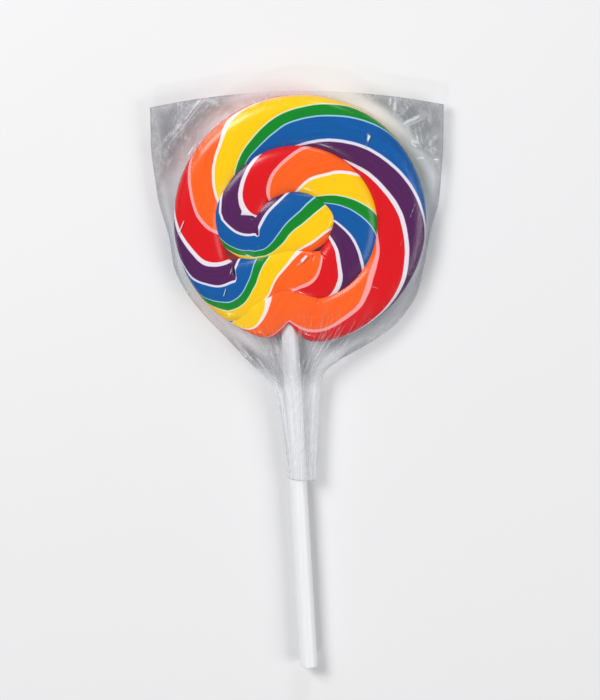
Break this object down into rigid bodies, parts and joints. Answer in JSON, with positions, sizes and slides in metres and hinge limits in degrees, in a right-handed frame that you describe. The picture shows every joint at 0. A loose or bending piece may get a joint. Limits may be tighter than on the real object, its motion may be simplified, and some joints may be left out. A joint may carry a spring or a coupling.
{
  "type": "swirl lollipop",
  "caption": "Flat round lollipop of one coiled multicoloured candy rope on a white plastic stick, in a clear film bag gathered round the stick.",
  "frame": {"origin": "on the flat underside of the bag, below the middle of the candy disc", "axes": "+Z out of the shown face, +Y from the middle of the disc away from the stick, +X to the right of the shown face"},
  "size_m": [0.0901, 0.1844, 0.01],
  "materials": {
    "candy": "glossy boiled sugar in six colours with white and pale lines between them",
    "stick_plastic": "smooth white",
    "clear_film": "clear crinkled film, glossy"
  },
  "bodies": {
    "root": {"candy_swirl": "candy", "stick": "stick_plastic", "film_bag": "clear_film"}
  },
  "joints": []
}
